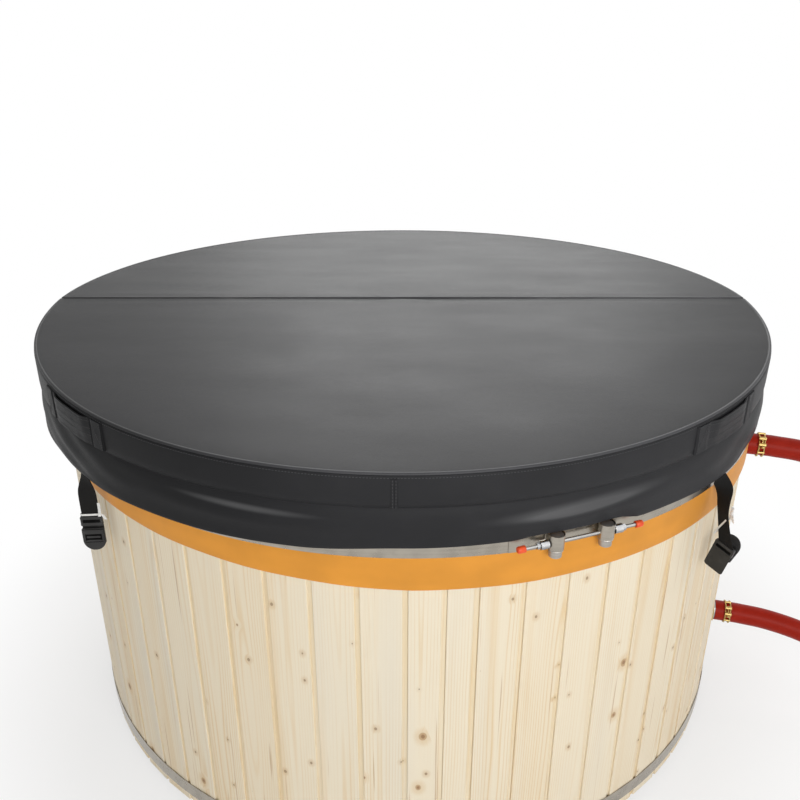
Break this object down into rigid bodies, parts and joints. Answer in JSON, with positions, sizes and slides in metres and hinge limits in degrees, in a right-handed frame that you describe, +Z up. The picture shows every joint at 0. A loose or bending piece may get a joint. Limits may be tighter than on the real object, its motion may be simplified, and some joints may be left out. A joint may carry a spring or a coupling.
{
  "type": "hot tub",
  "caption": "Round board-clad hot tub with a plastic tub, folding insulated cover with straps and handles, hoop tightener, drain valve and heater hoses.",
  "frame": {"origin": "on the ground under the middle of the tub, on the middle bearer's lower face", "axes": "+Z up, -Y towards the front where the tightener sits, +X towards the hoses"},
  "size_m": [2.6193, 1.9974, 1.1105],
  "materials": {
    "spruce_board": "satin",
    "sawn_timber": "matte",
    "tub_plastic": "satin",
    "stainless_steel": "satin",
    "plated_steel": "polished",
    "red_cap": "satin",
    "red_silicone": "satin",
    "yellow_zinc": "satin",
    "brass": "satin",
    "lever_coating": "satin",
    "charcoal_vinyl": "satin",
    "foam": "matte",
    "lining_cloth": "matte",
    "strap_webbing": "matte",
    "black_plastic": "satin"
  },
  "bodies": {
    "tub": {"bearer_1": "sawn_timber", "bearer_2": "sawn_timber", "bearer_3": "sawn_timber", "cap_left": "red_cap", "cap_right": "red_cap", "closing_boards": "spruce_board", "deck": "sawn_timber", "drain_pipe": "brass", "drain_strainer": "stainless_steel", "drain_valve": "brass", "hoop_tongue": "stainless_steel", "lower_hoop": "stainless_steel", "lower_hose": "red_silicone", "lower_hose_connector": "stainless_steel", "lower_hose_far_clamp": "yellow_zinc", "lower_hose_near_clamp": "yellow_zinc", "lower_port_lock_nut": "brass", "lower_port_pipe": "stainless_steel", "nut_left": "plated_steel", "nut_right": "plated_steel", "pin_left": "stainless_steel", "pin_right": "stainless_steel", "spacer_left": "plated_steel", "spacer_right": "plated_steel", "tension_rod": "stainless_steel", "tub_bench": "tub_plastic", "tub_floor": "tub_plastic", "tub_footwell": "tub_plastic", "tub_rim": "tub_plastic", "tub_wall": "tub_plastic", "upper_hoop": "stainless_steel", "upper_hose": "red_silicone", "upper_hose_connector": "stainless_steel", "upper_hose_far_clamp": "yellow_zinc", "upper_hose_near_clamp": "yellow_zinc", "upper_port_lock_nut": "brass", "upper_port_pipe": "stainless_steel", "wall_panel_01": "spruce_board", "wall_panel_02": "spruce_board", "wall_panel_03": "spruce_board", "wall_panel_04": "spruce_board", "wall_panel_05": "spruce_board", "wall_panel_06": "spruce_board"},
    "cover_rear": {"rear_jacket": "charcoal_vinyl", "rear_foam": "foam", "rear_lining": "lining_cloth", "fold_welt": "charcoal_vinyl"},
    "cover_front": {"front_jacket": "charcoal_vinyl", "front_foam": "foam", "front_lining": "lining_cloth", "handle_left": "charcoal_vinyl", "handle_right": "charcoal_vinyl"},
    "strap_left": {"strap_left": "strap_webbing", "buckle_left_base": "black_plastic"},
    "buckle_left": {"buckle_left_lever": "black_plastic"},
    "strap_right": {"strap_right": "strap_webbing", "buckle_right_base": "black_plastic"},
    "buckle_right": {"buckle_right_lever": "black_plastic"},
    "drain_lever": {"drain_lever": "lever_coating"}
  },
  "joints": [
    {"name": "cover_lift", "type": "slide", "parent": "tub", "child": "cover_rear", "axis": [0, 0, 1], "range_m": [0, 0.35]},
    {"name": "cover_fold", "type": "hinge", "parent": "cover_rear", "child": "cover_front", "pos_m": [-0.015, 0, 1.1055], "axis": [-1, 0, 0], "range_deg": [0, 178]},
    {"name": "strap_left_swing", "type": "hinge", "parent": "cover_front", "child": "strap_left", "pos_m": [-0.70657, -0.6737, 0.9084], "axis": [-0.6978, 0.7163, 0], "range_deg": [0, 80]},
    {"name": "buckle_left_turn", "type": "hinge", "parent": "strap_left", "child": "buckle_left", "pos_m": [-0.70844, -0.67953, 0.7772], "axis": [-0.9973, -0.0741, 0], "range_deg": [0, 110]},
    {"name": "strap_right_swing", "type": "hinge", "parent": "cover_front", "child": "strap_right", "pos_m": [0.6759, -0.67894, 0.9124], "axis": [-0.7009, -0.7133, 0], "range_deg": [0, 80]},
    {"name": "buckle_right_turn", "type": "hinge", "parent": "strap_right", "child": "buckle_right", "pos_m": [0.69959, -0.6957, 0.72136], "axis": [0.6144, -0.7453, -0.2588], "range_deg": [-145, 0]},
    {"name": "drain_lever_turn", "type": "hinge", "parent": "tub", "child": "drain_lever", "pos_m": [0, 0.97152, 0.212], "axis": [0, 0, -1], "range_deg": [0, 90]}
  ]
}
